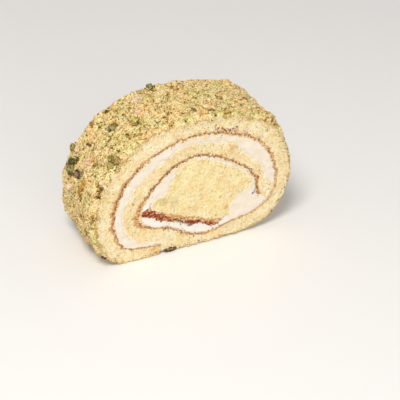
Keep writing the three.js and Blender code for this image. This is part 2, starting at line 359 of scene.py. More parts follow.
# ---- Colours and materials ----
def hexed(code):
    """An sRGB hex colour as linear red, green, blue and alpha."""
    parts = [int(code[i:i + 2], 16) / 255 for i in (1, 3, 5)]
    return [p / 12.92 if p <= 0.04045 else ((p + 0.055) / 1.055) ** 2.4 for p in parts] + [1.0]


def add(tree, kind, links=None, stops=None, **settings):
    """Adds a node with its settings; links gives its sockets values or other nodes' outputs."""
    made = tree.nodes.new(kind)
    for name, value in settings.items():
        setattr(made, name, value)
    for socket, value in (links or {}).items():
        if isinstance(value, bpy.types.NodeSocket):
            tree.links.new(value, made.inputs[socket])
        else:
            made.inputs[socket].default_value = value
    for i, (place, code) in enumerate(stops or []):
        element = made.color_ramp.elements[i] if i < 2 else made.color_ramp.elements.new(place)
        element.position = place
        element.color = hexed(code)
    return made


def new_material(name):
    made = bpy.data.materials.new(name)
    made.use_nodes = True
    made.node_tree.nodes.clear()
    return made, made.node_tree


def ramp(tree, factor, *stops):
    return add(tree, "ShaderNodeValToRGB", {"Fac": factor}, stops).outputs["Color"]


def value_of(tree, name):
    """A value stored on the mesh's points."""
    return add(tree, "ShaderNodeAttribute", attribute_name=name).outputs["Fac"]


def mixed(tree, factor, a, b, blend="MIX"):
    made = add(tree, "ShaderNodeMix", data_type="RGBA", blend_type=blend)
    for socket, value in zip((made.inputs[0], made.inputs[6], made.inputs[7]), (factor, a, b)):
        if isinstance(value, bpy.types.NodeSocket):
            tree.links.new(value, socket)
        else:
            socket.default_value = value
    return made.outputs[2]


def object_noise(tree, size, detail=3.0, roughness=0.6):
    """Noise whose blotches are about size millimetres across."""
    place = add(tree, "ShaderNodeTexCoord").outputs["Object"]
    return add(tree, "ShaderNodeTexNoise", {
        "Vector": place, "Scale": 1 / (size * MM), "Detail": detail, "Roughness": roughness,
    }).outputs["Fac"]


def grain_by_grain(tree, name, size=0.8):
    """A stored value that takes over in grains instead of fading evenly."""
    share = add(tree, "ShaderNodeMath", {0: value_of(tree, name), 1: object_noise(tree, size, 3, 0.7)},
                operation="ADD").outputs[0]
    return add(tree, "ShaderNodeMapRange", {"Value": share, "From Min": 0.72, "From Max": 0.92}).outputs[0]


def shade(tree, colour, bumps, roughness, scatter, coat=0.0, specular=0.3):
    """The food shader: colour, relief from (noise, millimetres high) pairs, and light soaking in.

    scatter is the share of light that soaks in, and how many millimetres deep."""
    normal = None
    for pattern, height in bumps:
        links = {"Height": pattern, "Distance": height * MM, "Strength": 1.0}
        if normal is not None:
            links["Normal"] = normal
        normal = add(tree, "ShaderNodeBump", links).outputs["Normal"]
    shader = add(tree, "ShaderNodeBsdfPrincipled", {
        "Base Color": colour, "Roughness": roughness, "Subsurface Weight": scatter[0],
        "Subsurface Radius": (1.0, 0.75, 0.45), "Subsurface Scale": scatter[1] * MM,
        "Coat Weight": coat, "Coat Roughness": 0.15, "Specular IOR Level": specular, "Normal": normal,
    }, subsurface_method="RANDOM_WALK")
    add(tree, "ShaderNodeOutputMaterial", {"Surface": shader.outputs["BSDF"]})


def sponge_material(name, pale, deep, pore_shade):
    """Vanilla sponge, baked and cut: open pores with painted shade in them, blotches a few millimetres wide,
    warmer by its skin.
    """
    made, tree = new_material(name)
    colour = ramp(tree, object_noise(tree, 5.5, 4), (0.36, deep), (0.62, pale))
    grain = ramp(tree, object_noise(tree, 0.75, 4, 0.75), (0.3, "#c9b98c"), (0.56, "#ffffff"))
    colour = mixed(tree, 0.75, colour, grain, "MULTIPLY")
    # The pores' colour is painted shade inside them.
    for attribute, code in (
        ("streak", "#ecc68a"), ("pore_shade", pore_shade), ("warm", "#d9a552"), ("olive", "#b9a768"), ("rosy", "#cf9676"),
    ):
        colour = mixed(tree, value_of(tree, attribute), colour, hexed(code))
    for attribute, code in (
        ("halo", "#cb9a62"), ("creamed", "#f2e6d6"), ("crumbed", "#c3a568"), ("torn", "#9a5c30"),
    ):
        colour = mixed(tree, grain_by_grain(tree, attribute), colour, hexed(code))
    shade(tree, colour, [(object_noise(tree, 0.7, 5, 0.7), 0.4)], 0.92, (0.2, 0.9))
    return made


def skin_material():
    """Browned skin of the sheet: caramel, broken up by dark baked grains."""
    made, tree = new_material("browned_sponge_skin")
    baked = add(tree, "ShaderNodeMath", {
        0: object_noise(tree, 0.8, 4, 0.7), 1: 3.0, 2: value_of(tree, "tan"),
    }, operation="MULTIPLY_ADD").outputs[0]
    colour = ramp(tree, baked, (0.06, "#4e2514"), (0.3, "#935a31"), (0.5, "#c98f58"), (0.8, "#efcf9c"))
    shade(tree, colour, [(object_noise(tree, 0.6, 4), 0.25)], 0.75, (0.1, 0.5))
    return made


def cream_material():
    """Whipped cream, spread with a palette knife: off-white, faintly pink, with a soft gloss."""
    made, tree = new_material("whipped_cream")
    colour = ramp(tree, object_noise(tree, 4.5), (0.35, "#e2d1b6"), (0.6, "#eadccb"))
    colour = mixed(tree, value_of(tree, "white"), colour, hexed("#e9e3d8"))
    colour = mixed(tree, grain_by_grain(tree, "crumby"), colour, hexed("#e6cd9a"))
    colour = mixed(tree, grain_by_grain(tree, "stain"), colour, hexed("#b98459"))
    shade(tree, colour, [(object_noise(tree, 2.2, 3), 0.15)], 0.5, (0.4, 1.4), specular=0.35)
    return made


def jam_material():
    """Set red berry jam: dark where thick, orange-brown where it has soaked in, wet on top."""
    made, tree = new_material("set_berry_jam")
    grains = object_noise(tree, 1.1, 4, 0.75)
    # The thick jam's brightest orange spots are partly its own colour and partly painted highlights.
    thick = ramp(tree, grains, (0.37, "#220400"), (0.46, "#7a2204"), (0.53, "#ba4c16"), (0.62, "#e6a866"))
    soaked = ramp(tree, grains, (0.36, "#7e4a20"), (0.48, "#c08e52"), (0.58, "#ecd2a0"))
    colour = mixed(tree, grain_by_grain(tree, "thin", 1.2), thick, soaked)
    shade(tree, colour, [(object_noise(tree, 0.8, 3), 0.3)], 0.4, (0.1, 0.4), coat=0.15, specular=0.4)
    return made


def grained(tree, colour, size=0.75, mottled=0.38):
    """Puts dark grains of size mm on a colour of the coat, more of them the more it is mottled.

    Patches of it are tinted: olive where nuts are ground in, rosy and golden elsewhere."""
    grain = ramp(tree, object_noise(tree, size, 4, 0.75), (mottled, "#6a5930"), (mottled + 0.12, "#ffffff"))
    tint = ramp(tree, object_noise(tree, 7, 3),
                (0.34, "#e8e4b0"), (0.46, "#f8f3dc"), (0.56, "#fdecd8"), (0.68, "#f9e1b4"))
    return mixed(tree, 0.9, mixed(tree, 0.8, colour, grain, "MULTIPLY"), tint, "MULTIPLY")


def crumb_material(name, dark, middle, pale, size=0.9, mottled=0.38):
    """Dry crumbs, torn or chopped: each has its own tone, with finer grains on it."""
    made, tree = new_material(name)
    tone = ramp(tree, value_of(tree, "tone"), (0.0, dark), (0.5, middle), (1.0, pale))
    colour = grained(tree, tone, size * 0.8, mottled)
    shade(tree, colour, [(object_noise(tree, size * 0.4, 3), 0.15)], 0.92, (0.15, 0.6))
    return made


def bed_material():
    """The pressed layer of fine crumbs: painted shade, dark and olive-brown, low between its grains, and bare
    sponge low down.
    """
    made, tree = new_material("pressed_crumb_layer")
    # Painted shade: the crumbs darken to olive-brown low between their grains, where shade falls.
    crumbs = ramp(tree, value_of(tree, "rise"),
                  (0.1, "#5a4926"), (0.28, "#ab8f52"), (0.47, "#ebd298"), (0.75, "#f9edc0"))
    bare = ramp(tree, object_noise(tree, 1.2, 4, 0.7), (0.35, "#d8bf86"), (0.6, "#f3e4bc"))
    colour = mixed(tree, grain_by_grain(tree, "covered", 1.2), bare, grained(tree, crumbs))
    shade(tree, colour, [(object_noise(tree, 0.5, 4, 0.7), 0.3)], 0.93, (0.12, 0.7))
    return made


# ---- Relief of the cut faces ----
PORES = ((3.2, 0.75, 0.6), (1.6, 0.42, 0.42), (0.95, 0.27, 0.25))  # spacing, radius and depth, mm
EDGE_REACH = 1.5  # mm from the outside over which a cut face crumbles away
EDGE_DROP = 0.6  # mm that it has crumbled away at its very rim
FAR_INSIDE = 9.0  # mm from the outside, for a place well clear of that rim
SMEAR = 0.9  # mm from a layer of cream over which the knife dragged it level with the sponge
CRACK_LENGTH = 8  # mm, more than the longest stretch of a crack and its stray
CRACK_STRAY = 1.6  # mm, for each unit of noise, that a crack strays from its line
CRACK_WIDTH = 0.6  # mm
# Values stored on the sponge's cut faces; the pores' one is painted shade in the pores.
SPONGE_VALUES = ("pore_shade", "halo", "streak", "crumbed", "creamed", "torn", "warm", "olive", "rosy")


def pore_at(place, lean, stretch, row):
    """How deep a point of a cut face lies in the sponge's pores, in mm, and its share of the way in."""
    turn = math.radians(lean)
    along = place.x * math.cos(turn) + place.y * math.sin(turn)
    across = place.y * math.cos(turn) - place.x * math.sin(turn)
    depth, share = 0.0, 0.0
    for spacing, radius, deep in PORES:
        spot = Vector((along / stretch / spacing, across / spacing, row + spacing))
        distances, centres = noise.voronoi(spot)
        own = 0.4 + 1.1 * abs(noise.noise(centres[0] * 5.3))
        inside = 1 - distances[0] * spacing / (radius * own)
        if inside > 0:
            depth = max(depth, deep * smooth(inside * 1.6))
            share = max(share, smooth(inside * 1.4))
    return depth, share


def sponge_face(place, row, lean=0.0, stretch=1.0):
    """Depth of torn sponge under the knife's plane, and its pores."""
    depth, share = pore_at(place, lean, stretch, row)
    depth += 0.25 + 0.3 * rough(place, row * 3.1, 5) + 0.22 * rough(place, row * 3.1, 1.2)
    return depth, share


def cream_face(place, side):
    """Depth of the cream under the knife's plane: smooth, with soft drags."""
    return 0.22 + 0.2 * rough(place, 31 + side, 3.2) + 0.07 * rough(place, 31 + side, 1.1)


def levelled(depth, place, side, from_cream):
    """The sponge's depth, level with the cream where they meet."""
    near = smooth(1 - from_cream / SMEAR)
    return depth * (1 - near) + cream_face(place, side) * near


def edge_drop(inward, place, row):
    """How far the cut face has crumbled away at a distance from the outside."""
    reach = EDGE_REACH * (1 + 0.5 * rough(place, row, 3))
    return EDGE_DROP * (1 + 0.6 * rough(place, row, 1)) * rounded(inward / reach)


def marked(place, marks):
    """Strength of the soft round marks at a face point."""
    strongest = 0.0
    for x, z, radius, strength in marks:
        distance = math.hypot(place.x - x, place.y - z)
        if distance < 2 * radius:
            share = 1.3 - distance / radius + 0.8 * rough(place, x, radius * 0.6)
            strongest = max(strongest, strength * smooth(share))
    return strongest


def cracked(place):
    """How far a face point is into one of the sponge's small cracks."""
    deepest = 0.0
    for line in CRACKS:
        for start, end in zip(line, line[1:]):
            a, b = Vector(start), Vector(end)
            if (place - a).length > CRACK_LENGTH:
                continue
            share = within((place - a).dot(b - a) / (b - a).length_squared)
            strayed = place + CRACK_STRAY * Vector((rough(place, 13, 1.8), rough(place, 17, 1.8)))
            away = (strayed - a.lerp(b, share)).length / CRACK_WIDTH
            deepest = max(deepest, smooth(1.5 - away) * smooth(0.6 + 2.2 * rough(place, 3, 0.9)))
    return deepest


# ---- Meshes ----
# Millimetres between a layer's columns, and cells across it.
SHEET_MESH = (0.36, 24)
SKIN_MESH = (0.3, 5)
OUTER_CREAM_MESH = (0.38, 10)
INNER_CREAM_MESH = (0.32, 13)
JAM_MESH = (0.28, 11)
TAIL_COLUMNS = 14  # more columns, for the cream in the notch
CORE_CELLS = 132  # cells each way over the core


def as_mesh(bm, name):
    mesh = bpy.data.meshes.new(name)
    bm.to_mesh(mesh)
    bm.free()
    return mesh


def in_scene(name, data):
    made = bpy.data.objects.new(name, data)
    bpy.context.scene.collection.objects.link(made)
    return made


def place_piece(bm, name, material, slot, nodes):
    """The bmesh, in millimetres, as a piece in metres that rides on the cake."""
    bmesh.ops.scale(bm, vec=(MM, MM, MM), verts=bm.verts)
    mesh = as_mesh(bm, name)
    mesh.materials.append(material)
    piece = in_scene(name, mesh)
    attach(piece, "root")
    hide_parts(*nodes)


def close_piece(bm, *named):
    """Seals a layer's mesh, shades it smooth and places it."""
    bmesh.ops.remove_doubles(bm, verts=bm.verts, dist=0.01)
    bmesh.ops.recalc_face_normals(bm, faces=bm.faces)
    for face in bm.faces:
        face.smooth = True
    place_piece(bm, *named)


def strip(columns, cells):
    """A flat strip in the XZ plane from columns of (winding angle, outer point, inner point).

    Its vertices store their share across, the width there, their place along it in mm and their
    winding angle. It comes with the function that reads these four from a vertex."""
    bm = bmesh.new()
    last = len(columns) - 1
    bmesh.ops.create_grid(bm, x_segments=last, y_segments=cells, size=0.5)
    reach = max(v.co.x for v in bm.verts)
    layers = [bm.verts.layers.float.new(name) for name in ("across", "width", "along", "wind")]
    middles = [outer.lerp(inner, 0.5) for _, outer, inner in columns]
    lengths = [0.0]
    for a, b in zip(middles, middles[1:]):
        lengths.append(lengths[-1] + (b - a).length)
    for v in bm.verts:
        column = round((v.co.x / reach + 1) / 2 * last)
        angle, outer, inner = columns[column]
        share = (v.co.y / reach + 1) / 2
        place = outer.lerp(inner, share)
        for layer, value in zip(layers, (share, (inner - outer).length, lengths[column], angle)):
            v[layer] = value
        v.co = (place.x, 0, place.y)
    return bm, lambda v: [v[layer] for layer in layers]


def run_through(bm, face_relief, attributes):
    """Runs a flat face in the XZ plane through the slice, and gives both cut faces their relief.

    face_relief(vertex, place, side) returns the depth in mm and the values of the attributes."""
    layers = [bm.verts.layers.float.get(a) or bm.verts.layers.float.new(a) for a in attributes]
    for edge in bm.edges:
        edge.smooth = not edge.is_boundary
    fronts = list(bm.verts)
    made = bmesh.ops.extrude_face_region(bm, geom=list(bm.faces))["geom"]
    backs = [v for v in made if isinstance(v, bmesh.types.BMVert)]
    for side, verts in ((-1, fronts), (1, backs)):
        for v in verts:
            depth, values = face_relief(v, Vector((v.co.x, v.co.z)), side)
            v.co.y = side * (HALF_DEPTH - depth)
            for layer, value in zip(layers, values):
                v[layer] = value


def sheet_strip(step, cells, outer, inner):
    """A strip down the sheet's length; its two ends lean, and its sides are given as radii."""
    columns = []
    for angle in evenly(FLAP_TIP, SHEET_END, step, lambda a: inside_radius(max(a, FLAP_TIP)) + 4):
        slant = FLAP_SLANT * (1 - smooth((angle - FLAP_TIP) / SLANT_REACH))
        outside = angle + END_LEAN * smooth((angle - SHEET_END + LEAN_REACH) / LEAN_REACH)
        inside = min(angle + slant, SHEET_END)
        columns.append((angle, at(outside, outer(outside)), at(inside, inner(inside))))
    return strip(columns, cells)


def layer_columns(angles, outer, inner):
    """Columns of a soft layer, which laps over its neighbours; its sides are given as radii."""
    return [(a, at(a, outer(a) + OVERLAP), at(a, inner(a) - OVERLAP)) for a in angles]


STREAKED_FROM = 400  # winding angle; from there the sheet's sponge is streaked more


def sponge_sheet():
    bm, values = sheet_strip(*SHEET_MESH, sheet_outside, skin_outside)

    def relief(v, place, side):
        across, width, along, wind = values(v)
        row = 11 + 7 * side
        inward, from_skin = across * width, (1 - across) * width
        # The share into a pore is kept for the painted shade in the pores.
        depth, pore_shade = sponge_face(place, row)
        uneven, fine = rough(place, row, 3), rough(place, row, 0.9)
        torn = cracked(place)
        crumbed, creamed = 0.0, 0.0
        if wind < NOTCH_FOOT:
            depth += edge_drop(inward, place, row)
            crumbed = 0.6 * coated(wind) * smooth((1.8 + 2.4 * uneven + 1.3 * fine - inward) / 2.4)
        else:
            depth = levelled(depth, place, side, inward)
            creamed = 0.6 * smooth((1.4 + 1.4 * uneven + 0.9 * fine - inward) / 1.5)
        streak = max(0.0, noise.noise(Vector((along / 8, from_skin / 1.1, row))))
        streak *= 1.2 if wind > STREAKED_FROM else 0.5
        reach = (0.6 + 0.9 * skin_thickness(wind)) * (1 + 0.8 * uneven + 0.5 * fine)
        halo = (0.35 + 0.25 * skin_bake(wind)) * smooth(1 - from_skin / reach)
        return depth + 0.3 * torn, (
            0.7 * pore_shade, halo, streak, crumbed, creamed, 0.7 * torn, marked(place, WARM_MARKS), 0.0,
            marked(place, ROSY_MARKS),
        )

    run_through(bm, relief, SPONGE_VALUES)
    material = sponge_material("vanilla_sponge", "#f9ebc8", "#f1dca7", "#b8a26c")
    close_piece(bm, "sponge_sheet_cut", material, "sponge", ["sponge_sheet"])


def browned_skin():
    bm, values = sheet_strip(*SKIN_MESH, skin_outside, skin_side)

    def relief(v, place, side):
        across, width, along, wind = values(v)
        row = 20 + side
        dashes = noise.noise(Vector((along / 1.4, across * width / 0.6, row)))
        tan = 0.35 * width * abs(across - 0.3) - 0.8 - 0.4 * skin_bake(wind) + 0.4 * dashes
        return 0.3 + 0.25 * rough(place, row, 0.8), (tan,)

    run_through(bm, relief, ("tan",))
    close_piece(bm, "browned_skin", skin_material(), "browned_skin", ["sponge_sheet"])


START_OF_PLAIN_CREAM = 44  # winding angle; before it the cream is thin and lies deeper


def cream_between_turns(material):
    """The cream between the two turns, from the tail squeezed into the notch to the sheet's end."""
    start, end = FLAP_TIP + FLAP_SLANT, SHEET_END + END_LEAN - 360
    corner = at(start, skin_side(start))
    head = at(NOTCH_HEAD, sheet_outside(NOTCH_HEAD))
    foot = at(NOTCH_FOOT, sheet_outside(NOTCH_FOOT))
    step, cells = OUTER_CREAM_MESH
    columns = []
    for k in range(TAIL_COLUMNS):
        share = k / TAIL_COLUMNS
        flap_side = Vector((corner.x - OVERLAP, foot.y + 0.3)).lerp(corner, share)
        foot_side = foot.lerp(head, share) + Vector((0.1, 0.2))
        columns.append((start, flap_side, foot_side))
    angles = evenly(start, end, step, skin_side)
    columns += layer_columns(angles, skin_side, lambda a: sheet_outside(a + 360))
    bm, values = strip(columns, cells)

    def relief(v, place, side):
        across, width, _, wind = values(v)
        uneven, fine = rough(place, 33 + side, 2.5), rough(place, 33 + side, 0.9)
        stain = 0.4 * smooth((0.4 + 0.8 * fine - across * width) / 0.6)
        crumby = 0.45 * smooth((0.8 + uneven + 0.8 * fine - (1 - across) * width) / 1.1)
        over_top = smooth((wind - 150) / 20) * smooth((232 - wind) / 12)
        crumby = max(crumby, 0.36 * over_top * smooth(0.7 + uneven + fine), 0.6 * smooth((wind - 274) / 4))
        sunk = 0.5 * smooth((START_OF_PLAIN_CREAM - wind) / 4) + 0.12 * smooth(1 - across * width / 0.4)
        return cream_face(place, side) + sunk, (stain, crumby, 0.3)

    run_through(bm, relief, ("stain", "crumby", "white"))
    close_piece(bm, "cream_between_turns", material, "cream", ["cream_outer"])


def cream_round_core(material):
    """The cream round the core and its jam, up to both sides of where the core touches the sheet."""
    start, end = CORE_TOUCHES_SHEET[1] - 3, CORE_TOUCHES_SHEET[0] + 363
    step, cells = INNER_CREAM_MESH
    angles = evenly(start, end, step, lambda a: filling_radius(a) + 2)
    bm, values = strip(layer_columns(
        angles, inner_cream_outside, lambda a: min(filling_radius(a), inner_cream_outside(a) - 0.15),
    ), cells)

    def relief(v, place, side):
        across, width, _, wind = values(v)
        turned = wind if wind > 300 else wind + 360
        by_jam = JAM[0][0] - 4 < turned < JAM[-1][0] + 6
        over_top = smooth((wind - 196) / 10) * smooth((284 - wind) / 8)
        uneven, fine = rough(place, 39 + side, 2), rough(place, 39 + side, 0.8)
        from_core = (1 - across) * width
        stain = 0.55 * smooth((0.7 + 1.1 * fine - from_core) / 0.7) if by_jam else 0.0
        stain = max(stain, 0.4 * smooth((0.4 + 0.8 * fine - across * width) / 0.5))
        crumby = 0.0 if by_jam else 0.45 * smooth((1 + 1.2 * uneven + 0.8 * fine - from_core) / 1.3)
        crumby = max(crumby, 0.4 * over_top * smooth(0.8 + uneven + fine))
        sunk = 0.12 * smooth(1 - across * width / 0.4)
        return cream_face(place, side) + sunk, (stain, crumby, 1.0 if by_jam else 0.4)

    run_through(bm, relief, ("stain", "crumby", "white"))
    close_piece(bm, "cream_round_core", material, "cream", ["cream_inner"])


def jam_line():
    step, cells = JAM_MESH
    angles = evenly(JAM[0][0] - 1, JAM[-1][0] + 1, step, core_radius)
    columns = layer_columns(angles, lambda a: core_radius(a) + jam_depth(a), core_radius)
    bm, values = strip(columns, cells)

    def relief(v, place, side):
        across, width, _, wind = values(v)
        soaked = jam_soaked(wind)
        depth = 0.15 + 0.2 * soaked + 0.35 * rough(place, 43 + side, 1.2) + 0.2 * rough(place, 43 + side, 0.6)
        by_core = smooth((1.7 + 1.2 * rough(place, 45 + side, 1.5) - (1 - across) * width) / 1.2)
        thin = max(soaked, 0.65 * by_core) + 0.4 * rough(place, 47 + side, 1.2)
        return depth, (thin,)

    run_through(bm, relief, ("thin",))
    close_piece(bm, "jam_line", jam_material(), "jam", ["jam"])


def sponge_core():
    """The core's face: a square grid pressed round, then out to the core's outline."""
    bm = bmesh.new()
    bmesh.ops.create_grid(bm, x_segments=CORE_CELLS, y_segments=CORE_CELLS, size=1)
    rim = bm.verts.layers.float.new("rim")
    reach = max(v.co.x for v in bm.verts)
    for v in bm.verts:
        x, y = v.co.x / reach, v.co.y / reach
        x, y = x * math.sqrt(1 - y * y / 2), y * math.sqrt(1 - x * x / 2)
        angle = math.degrees(math.atan2(-x, -y)) % 360
        share = min(math.hypot(x, y), 1.0)
        place = at(angle, share * core_radius(angle))
        v[rim] = (1 - share) * core_radius(angle)
        v.co = (place.x, 0, place.y)

    def relief(v, place, side):
        row = 51 + 5 * side
        # The share into a pore is kept for the painted shade in the pores.
        depth, pore_shade = sponge_face(place, row, lean=48, stretch=1.8)
        uneven, fine = rough(place, row, 3), rough(place, row, 0.9)
        below = smooth((CENTRE_HEIGHT - 3 - place.y) / 6)
        over_jam = below * (1 - smooth((place.x - 12) / 3)) * smooth(1 - v[rim] / (2 + uneven + fine))
        by_cream = min((1 - below) + smooth((place.x - 14) / 4), 1)
        creamed = 0.6 * by_cream * smooth((1.6 + 1.6 * uneven + fine - v[rim]) / 1.9)
        streak = max(0.0, 0.6 * rough(place, row, 6))
        return levelled(depth, place, side, v[rim]), (
            0.75 * pore_shade, 0.5 * over_jam, streak, 0.0, creamed, 0.0, marked(place, WARM_MARKS),
            marked(place, OLIVE_MARKS), 0.0,
        )

    run_through(bm, relief, SPONGE_VALUES)
    material = sponge_material("butter_sponge", "#f9eabf", "#f4dfa4", "#ac9f66")
    close_piece(bm, "sponge_core_cut", material, "core_sponge", ["sponge_core"])


# ---- The crumb coat ----
BED_ENDS = (51, 332)  # winding angles
BED_STEP = 0.34
BED_ROOT = 0.9
BED_EDGE = 1.2  # mm from the bed's rim over which the coat thins out
BED_TUCK = 0.3  # mm that the bed's rim lies under the sponge's surface
BED_RIM = HALF_DEPTH - 0.7  # place along Y of the bed's rim, behind the crumbled edge of the cut
LOWEST = 0.02  # mm above the base, under which no crumb reaches
PROUD = 0.4  # mm that crumbs may stand out of a cut face
GROUP_RIM = 17.5  # place along Y that groups of crumbs keep within
CREASE_RIM = 17.6  # the same for the crumbs round the nuts
CRUMB_SHAPES = 8  # different shapes in each kind of crumb


def coated(angle):
    """1 where the roll has a coat at all, fading to 0 towards the base."""
    return smooth((angle - 54) / 12) * smooth((318 - angle) / 24)


def covering(angle):
    """How fully crumbs cover the roll: all over the top and left, thinner down the right side."""
    return coated(angle) * (1 - 0.7 * smooth((angle - 236) / 48))


def grains(around, y, row):
    """Rounded grains of the pressed crumbs, from 0 between them to 1 on top."""
    top = 0.0
    for spacing, share in ((1.8, 0.5), (0.95, 0.5)):
        spot = Vector((around / spacing, y / spacing, row + spacing))
        distance = noise.voronoi(spot)[0][0]
        top += share * math.sqrt(max(0.0, 1 - min(distance / 0.75, 1) ** 2))
    return top


def bed_height(angle, y):
    """Height of the pressed crumbs over the sponge, and how high on a grain it is."""
    around = round_the_roll(angle)
    top = grains(around, y, 61)
    cover = covering(angle)
    plain = max(coat_height(angle, y), 0.0) if COAT_DEPTH[0][0] < angle < COAT_DEPTH[-1][0] else 0.0
    clump = noise.noise(Vector((around / 3.6, y / 3.6, 5)))
    height = max(plain + 0.8 * cover * clump + (0.25 + 0.75 * cover) * (1.1 * top - 0.6), 0.3)
    rising = smooth((BED_RIM - abs(y)) / BED_EDGE)
    return height * rising - BED_TUCK * (1 - rising), top + 0.3 * clump


def coat_point(angle, y, rise=0.0):
    place = at(angle, roll_radius(angle) + bed_height(angle, y)[0] + rise)
    return Vector((place.x, y, place.y))


def still_coated(angle, y):
    """How much of the coat is left at a place, as the knife pulled some off beside the cuts."""
    around = round_the_roll(angle)
    pulled = 2.2 * noise.noise(Vector((around / 6, y / 6, 9))) + 1.1 * noise.noise(Vector((around, y, 4)))
    return smooth((HALF_DEPTH - abs(y) + 0.8 + pulled) / 1.8)


def crumb_bed():
    """The pressed crumbs: a grid bent round the roll, with a root inside the sponge."""
    bm = bmesh.new()
    angles = evenly(*BED_ENDS, BED_STEP, roll_radius)
    columns = len(angles) - 1
    rows = round(2 * BED_RIM / BED_STEP)
    bmesh.ops.create_grid(bm, x_segments=columns, y_segments=rows, size=0.5)
    reach = max(v.co.x for v in bm.verts)
    rise = bm.verts.layers.float.new("rise")
    covered = bm.verts.layers.float.new("covered")
    for v in bm.verts:
        angle = angles[round((v.co.x / reach + 1) / 2 * columns)]
        y = v.co.y / reach * BED_RIM
        height, top = bed_height(angle, y)
        place = at(angle, roll_radius(angle) + height)
        around = round_the_roll(angle)
        # How high on a grain: the bed's material paints shade where this is low.
        v[rise] = top + 0.35 * noise.noise(Vector((around / 0.8, y / 0.8, 2)))
        v[covered] = 0.75 * covering(angle) * still_coated(angle, y)
        v.co = (place.x, y, max(place.y, LOWEST))
    rim = [edge for edge in bm.edges if edge.is_boundary]
    roots = bmesh.ops.extrude_edge_only(bm, edges=rim)["geom"]
    for v in [g for g in roots if isinstance(g, bmesh.types.BMVert)]:
        angle = math.degrees(math.atan2(-v.co.x, CENTRE_HEIGHT - v.co.z)) % 360
        place = at(angle, roll_radius(angle) - BED_ROOT)
        # The root is kept clear of the painted shade.
        v[rise], v[covered] = 0.8, 0.0
        v.co = (place.x, v.co.y, place.y)
    root_edges = [g for g in roots if isinstance(g, bmesh.types.BMEdge) and g.is_boundary]
    long_sides = [e for e in root_edges if abs(e.verts[0].co.y - e.verts[1].co.y) < 1e-6]
    bmesh.ops.bridge_loops(bm, edges=long_sides)
    bmesh.ops.holes_fill(bm, edges=bm.edges, sides=0)
    close_piece(bm, "crumb_bed", bed_material(), "crumb_coat", ["sponge_sheet"])


def crumb_shapes(flatness, source, sides, corners):
    """Angular crumbs of radius 1, each from a ball with its corners moved at random."""
    shapes = []
    for i in range(CRUMB_SHAPES):
        bm = bmesh.new()
        bmesh.ops.create_icosphere(bm, subdivisions=sides, radius=1)
        for v in bm.verts:
            v.co *= 1 + corners * source.uniform(-1, 1)
            v.co.z *= flatness
        bm.verts.layers.float.new("tone")
        shapes.append(as_mesh(bm, f"crumb_shape_{i}"))
    return shapes


def crumbs(name, material, slot, places, seed, flatness=0.75, sides=1, corners=0.3):
    """One piece of many loose crumbs: places gives each its point and radius in mm."""
    source = random.Random(seed)
    shapes = crumb_shapes(flatness, source, sides, corners)
    bm = bmesh.new()
    for place, size in places:
        shape = shapes[source.randrange(len(shapes))]
        turn = Euler([source.uniform(0, math.tau) for _ in range(3)]).to_matrix().to_4x4()
        stretch = Matrix.Diagonal((size, size * source.uniform(0.8, 1.2), size, 1))
        put = Matrix.Translation(place) @ turn @ stretch
        tone = source.random()
        shape.attributes["tone"].data.foreach_set("value", [tone] * len(shape.vertices))
        shape.transform(put)
        bm.from_mesh(shape)
        shape.transform(put.inverted())
    for shape in shapes:
        bpy.data.meshes.remove(shape)
    for v in bm.verts:
        v.co.y = within(v.co.y, -HALF_DEPTH - PROUD, HALF_DEPTH + PROUD)
        v.co.z = max(v.co.z, LOWEST)
    place_piece(bm, name, material, slot, ["sponge_sheet"])


def sprinkled(count, smallest, largest, source, lowest=-9.0, highest=9.0, patch=None):
    """Places for loose crumbs on the coat, between a lowest and a highest share of the bed's rise.

    Where they gather in patches, patch is the patches' size in mm and the least noise to keep."""
    places = []
    while len(places) < count:
        angle = source.uniform(56, 316)
        y = source.uniform(-BED_RIM, BED_RIM)
        if source.random() > covering(angle) * (0.15 + 0.85 * still_coated(angle, y)):
            continue
        if not lowest < bed_height(angle, y)[1] < highest:
            continue
        if patch is not None:
            width, least = patch
            spot = Vector((round_the_roll(angle), y, 7 * width)) / width
            if 0.5 + noise.noise(spot) < least:
                continue
        size = smallest + (largest - smallest) * source.random() ** 2
        places.append((coat_point(angle, y, -0.25 * size), size))
    return places


def gathered(each, smallest, largest, source):
    """Places in small groups on the coat."""
    places = []
    for angle, y in GATHERINGS:
        for _ in range(each):
            spot = (angle + source.gauss(0, 2), within(y + source.gauss(0, 1.4), -GROUP_RIM, GROUP_RIM))
            size = source.uniform(smallest, largest)
            places.append((coat_point(*spot, 0.1 * size), size))
    return places


def beside(angle, y, away, turn):
    """The winding angle and place along Y that lie away mm from a spot on the coat."""
    return angle + math.degrees(away * math.cos(turn) / roll_radius(angle)), y + away * math.sin(turn)


def round_the_nuts(source):
    """Places for near-black crumbs in the crease round each large nut, as painted shade where it sits in the
    coat.
    """
    places = []
    for angle, y, size, what in NUTS:
        if what not in ("pistachio", "fruit", "olive"):
            continue
        for _ in range(11):
            aside, along = beside(angle, y, size, source.uniform(0, math.tau))
            dot = source.uniform(0.18, 0.42)
            places.append((coat_point(aside, within(along, -CREASE_RIM, CREASE_RIM), 0.1 * dot), dot))
    return places


def face_point(place, side, size, inward=FAR_INSIDE):
    """A crumb on a cut face, lying on the sponge: its point and its radius."""
    depth = 0.2 + edge_drop(inward, place, 11 + 7 * side)
    return Vector((place.x, side * (HALF_DEPTH - depth + 0.2 * size), place.y)), size


def by_the_rim(count, smallest, largest, source, reach=1.1):
    """Places for crumbs that the knife dragged from the coat onto the cut faces."""
    places = []
    for k in range(2 * count):
        side = -1 if k % 2 else 1
        angle = source.uniform(57, 314)
        inward = source.expovariate(1 / reach)
        if inward > 5 * reach or source.random() > 0.25 + covering(angle):
            continue
        size = source.uniform(smallest, largest)
        places.append(face_point(at(angle, roll_radius(angle) - inward), side, size, inward))
    return places


